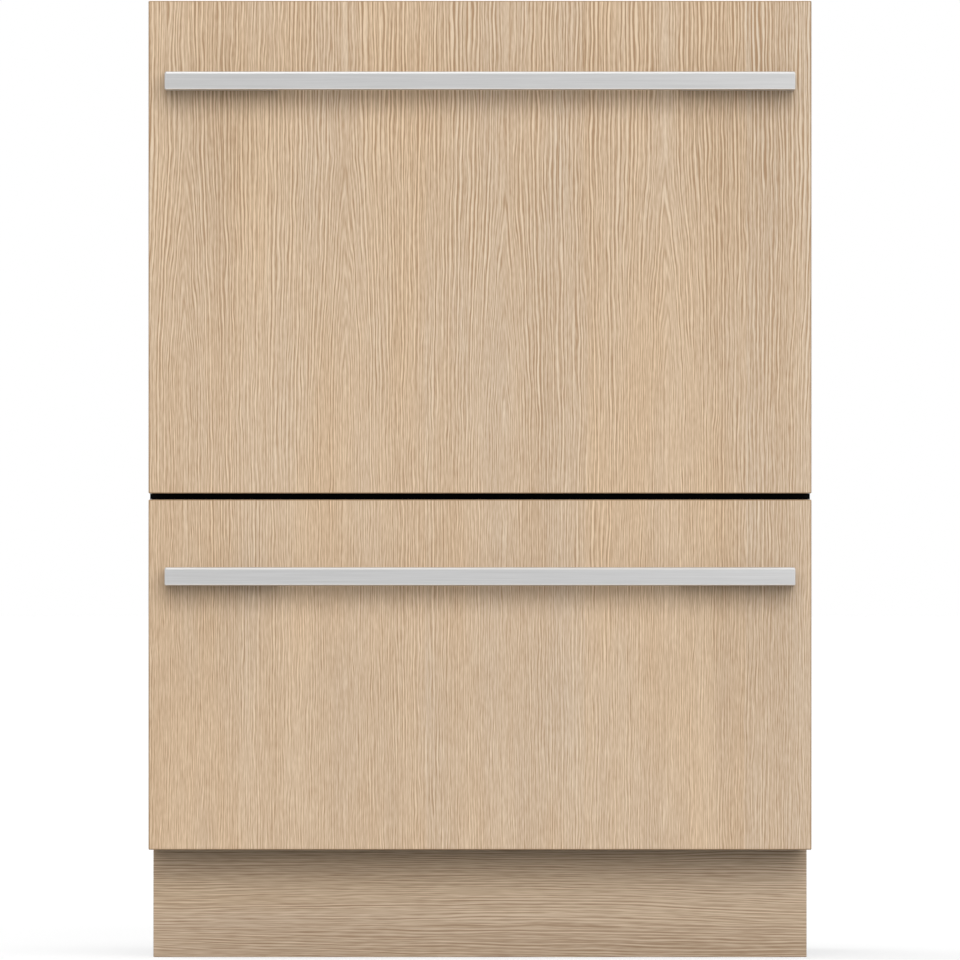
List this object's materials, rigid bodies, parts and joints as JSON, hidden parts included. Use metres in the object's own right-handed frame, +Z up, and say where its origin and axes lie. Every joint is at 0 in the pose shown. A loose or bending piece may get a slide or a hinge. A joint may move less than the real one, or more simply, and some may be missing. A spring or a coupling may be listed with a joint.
{
  "type": "dishwasher drawer",
  "caption": "Built-in double dishwasher drawer with veneered door fronts, long flat bar handles and a recessed plinth; the drawers slide out on telescopic runners.",
  "frame": {"origin": "on the floor, in the middle of the width and of the whole depth", "axes": "+X to the right as the fronts are faced, +Y to the back, +Z up; the fronts face -Y"},
  "size_m": [0.599, 0.61, 0.865],
  "materials": {
    "galvanised_steel": "satin",
    "tray_steel": "satin",
    "black_painted_steel": "satin",
    "oak_veneer": "matt",
    "oak_plinth": "matt",
    "brushed_aluminium": "brushed",
    "runner_steel": "bright zinc",
    "actuator_plastic": "moulded",
    "valve_plastic": "moulded",
    "drain_plastic": "moulded",
    "terminal_plastic": "moulded",
    "foot_plastic": "satin",
    "frame_steel": "satin",
    "control_strip_plastic": "gloss",
    "button_plastic": "satin",
    "tub_polymer": "satin",
    "pump_plastic": "moulded",
    "spray_arm_plastic": "satin",
    "filter_steel": "brushed",
    "coated_wire": "nylon coated",
    "basket_plastic": "satin",
    "dispenser_plastic": "satin",
    "dispenser_door_plastic": "satin",
    "lid_plastic": "satin",
    "gasket_rubber": "matt",
    "yoke_steel": "zinc",
    "link_plastic": "moulded"
  },
  "bodies": {
    "chassis": {"chassis_wrap": "galvanised_steel", "chassis_roof": "galvanised_steel", "base_tray": "tray_steel", "front_brace": "black_painted_steel", "plinth_board": "oak_plinth", "runner_outer_channels": "runner_steel", "lid_actuators": "actuator_plastic", "inlet_valve": "valve_plastic", "drain_outlet": "drain_plastic", "mains_terminal": "terminal_plastic"},
    "foot_front_left": {"foot_front_left": "foot_plastic"},
    "foot_front_right": {"foot_front_right": "foot_plastic"},
    "foot_rear_left": {"foot_rear_left": "foot_plastic"},
    "foot_rear_right": {"foot_rear_right": "foot_plastic"},
    "upper_drawer": {"upper_front_panel": "oak_veneer", "upper_handle": "brushed_aluminium", "upper_front_frame": "frame_steel", "upper_control_strip": "control_strip_plastic", "upper_tub": "tub_polymer", "upper_wash_pump": "pump_plastic", "upper_filter": "filter_steel", "upper_rack": "coated_wire", "upper_cutlery_basket": "basket_plastic", "upper_dispenser": "dispenser_plastic", "upper_runner_inners": "runner_steel"},
    "upper_runner_middles": {"upper_runner_middles": "runner_steel"},
    "upper_lid": {"upper_lid": "lid_plastic", "upper_lid_gasket": "gasket_rubber"},
    "upper_lid_yokes": {"upper_lid_yokes": "yoke_steel"},
    "upper_link_rear": {"upper_link_rear": "link_plastic"},
    "upper_link_front": {"upper_link_front": "link_plastic"},
    "upper_spray_arm": {"upper_spray_arm": "spray_arm_plastic"},
    "upper_cup_rack": {"upper_cup_rack": "coated_wire"},
    "upper_dispenser_door": {"upper_dispenser_door": "dispenser_door_plastic"},
    "upper_power_button": {"upper_power_button": "button_plastic"},
    "upper_program_button": {"upper_program_button": "button_plastic"},
    "upper_start_button": {"upper_start_button": "button_plastic"},
    "lower_drawer": {"lower_front_panel": "oak_veneer", "lower_handle": "brushed_aluminium", "lower_front_frame": "frame_steel", "lower_control_strip": "control_strip_plastic", "lower_tub": "tub_polymer", "lower_wash_pump": "pump_plastic", "lower_filter": "filter_steel", "lower_rack": "coated_wire", "lower_cutlery_basket": "basket_plastic", "lower_dispenser": "dispenser_plastic", "lower_runner_inners": "runner_steel"},
    "lower_runner_middles": {"lower_runner_middles": "runner_steel"},
    "lower_lid": {"lower_lid": "lid_plastic", "lower_lid_gasket": "gasket_rubber"},
    "lower_lid_yokes": {"lower_lid_yokes": "yoke_steel"},
    "lower_link_rear": {"lower_link_rear": "link_plastic"},
    "lower_link_front": {"lower_link_front": "link_plastic"},
    "lower_spray_arm": {"lower_spray_arm": "spray_arm_plastic"},
    "lower_cup_rack": {"lower_cup_rack": "coated_wire"},
    "lower_dispenser_door": {"lower_dispenser_door": "dispenser_door_plastic"},
    "lower_power_button": {"lower_power_button": "button_plastic"},
    "lower_program_button": {"lower_program_button": "button_plastic"},
    "lower_start_button": {"lower_start_button": "button_plastic"}
  },
  "joints": [
    {"name": "foot_front_left_screw", "type": "slide", "parent": "chassis", "child": "foot_front_left", "axis": [0, 0, -1], "range_m": [0, 0.06]},
    {"name": "foot_front_right_screw", "type": "slide", "parent": "chassis", "child": "foot_front_right", "axis": [0, 0, -1], "range_m": [0, 0.06]},
    {"name": "foot_rear_left_screw", "type": "slide", "parent": "chassis", "child": "foot_rear_left", "axis": [0, 0, -1], "range_m": [0, 0.06]},
    {"name": "foot_rear_right_screw", "type": "slide", "parent": "chassis", "child": "foot_rear_right", "axis": [0, 0, -1], "range_m": [0, 0.06]},
    {"name": "upper_drawer_slide", "type": "slide", "parent": "chassis", "child": "upper_drawer", "axis": [0, -1, 0], "range_m": [0, 0.48]},
    {"name": "upper_runner_slide", "type": "slide", "parent": "chassis", "child": "upper_runner_middles", "axis": [0, -1, 0], "range_m": [0, 0.2405]},
    {"name": "upper_lid_lift", "type": "slide", "parent": "chassis", "child": "upper_lid", "axis": [0, 0, 1], "range_m": [0, 0.01]},
    {"name": "upper_yoke_slide", "type": "slide", "parent": "chassis", "child": "upper_lid_yokes", "axis": [0, 1, 0], "range_m": [0, 0.0205]},
    {"name": "upper_link_rear_pivot", "type": "hinge", "parent": "chassis", "child": "upper_link_rear", "pos_m": [0.23, 0.2829, 0.562], "axis": [0, 0, 1], "range_deg": [0, 37]},
    {"name": "upper_link_front_pivot", "type": "hinge", "parent": "upper_drawer", "child": "upper_link_front", "pos_m": [0.23, 0.2829, 0.578], "axis": [0, 0, -1], "range_deg": [0, 37]},
    {"name": "upper_spray_spin", "type": "hinge", "parent": "upper_drawer", "child": "upper_spray_arm", "pos_m": [0, 0.024, 0.473], "axis": [0, 0, 1], "continuous": true},
    {"name": "upper_cup_rack_fold", "type": "hinge", "parent": "upper_drawer", "child": "upper_cup_rack", "pos_m": [-0.234, 0.024, 0.598], "axis": [0, 1, 0], "range_deg": [0, 96]},
    {"name": "upper_dispenser_slide", "type": "slide", "parent": "upper_drawer", "child": "upper_dispenser_door", "axis": [1, 0, 0], "range_m": [0, 0.08]},
    {"name": "upper_power_press", "type": "slide", "parent": "upper_drawer", "child": "upper_power_button", "axis": [0, 0, -1], "range_m": [0, 0.0012], "stiffness_N_per_m": 400, "springref_m": -0.001},
    {"name": "upper_program_press", "type": "slide", "parent": "upper_drawer", "child": "upper_program_button", "axis": [0, 0, -1], "range_m": [0, 0.0012], "stiffness_N_per_m": 400, "springref_m": -0.001},
    {"name": "upper_start_press", "type": "slide", "parent": "upper_drawer", "child": "upper_start_button", "axis": [0, 0, -1], "range_m": [0, 0.0012], "stiffness_N_per_m": 400, "springref_m": -0.001},
    {"name": "lower_drawer_slide", "type": "slide", "parent": "chassis", "child": "lower_drawer", "axis": [0, -1, 0], "range_m": [0, 0.48]},
    {"name": "lower_runner_slide", "type": "slide", "parent": "chassis", "child": "lower_runner_middles", "axis": [0, -1, 0], "range_m": [0, 0.2405]},
    {"name": "lower_lid_lift", "type": "slide", "parent": "chassis", "child": "lower_lid", "axis": [0, 0, 1], "range_m": [0, 0.01]},
    {"name": "lower_yoke_slide", "type": "slide", "parent": "chassis", "child": "lower_lid_yokes", "axis": [0, 1, 0], "range_m": [0, 0.0205]},
    {"name": "lower_link_rear_pivot", "type": "hinge", "parent": "chassis", "child": "lower_link_rear", "pos_m": [0.23, 0.2829, 0.24], "axis": [0, 0, 1], "range_deg": [0, 37]},
    {"name": "lower_link_front_pivot", "type": "hinge", "parent": "lower_drawer", "child": "lower_link_front", "pos_m": [0.23, 0.2829, 0.256], "axis": [0, 0, -1], "range_deg": [0, 37]},
    {"name": "lower_spray_spin", "type": "hinge", "parent": "lower_drawer", "child": "lower_spray_arm", "pos_m": [0, 0.024, 0.151], "axis": [0, 0, 1], "continuous": true},
    {"name": "lower_cup_rack_fold", "type": "hinge", "parent": "lower_drawer", "child": "lower_cup_rack", "pos_m": [-0.234, 0.024, 0.276], "axis": [0, 1, 0], "range_deg": [0, 96]},
    {"name": "lower_dispenser_slide", "type": "slide", "parent": "lower_drawer", "child": "lower_dispenser_door", "axis": [1, 0, 0], "range_m": [0, 0.08]},
    {"name": "lower_power_press", "type": "slide", "parent": "lower_drawer", "child": "lower_power_button", "axis": [0, 0, -1], "range_m": [0, 0.0012], "stiffness_N_per_m": 400, "springref_m": -0.001},
    {"name": "lower_program_press", "type": "slide", "parent": "lower_drawer", "child": "lower_program_button", "axis": [0, 0, -1], "range_m": [0, 0.0012], "stiffness_N_per_m": 400, "springref_m": -0.001},
    {"name": "lower_start_press", "type": "slide", "parent": "lower_drawer", "child": "lower_start_button", "axis": [0, 0, -1], "range_m": [0, 0.0012], "stiffness_N_per_m": 400, "springref_m": -0.001}
  ],
  "couplings": [
    {"joint": "upper_runner_slide", "follows": "upper_drawer_slide", "ratio": 0.5},
    {"joint": "upper_link_rear_pivot", "follows": "upper_drawer_slide", "rad_per_m": 1.3406},
    {"joint": "upper_link_front_pivot", "follows": "upper_drawer_slide", "rad_per_m": 1.3406},
    {"joint": "upper_yoke_slide", "follows": "upper_lid_lift", "ratio": 2},
    {"joint": "lower_runner_slide", "follows": "lower_drawer_slide", "ratio": 0.5},
    {"joint": "lower_link_rear_pivot", "follows": "lower_drawer_slide", "rad_per_m": 1.3406},
    {"joint": "lower_link_front_pivot", "follows": "lower_drawer_slide", "rad_per_m": 1.3406},
    {"joint": "lower_yoke_slide", "follows": "lower_lid_lift", "ratio": 2}
  ]
}
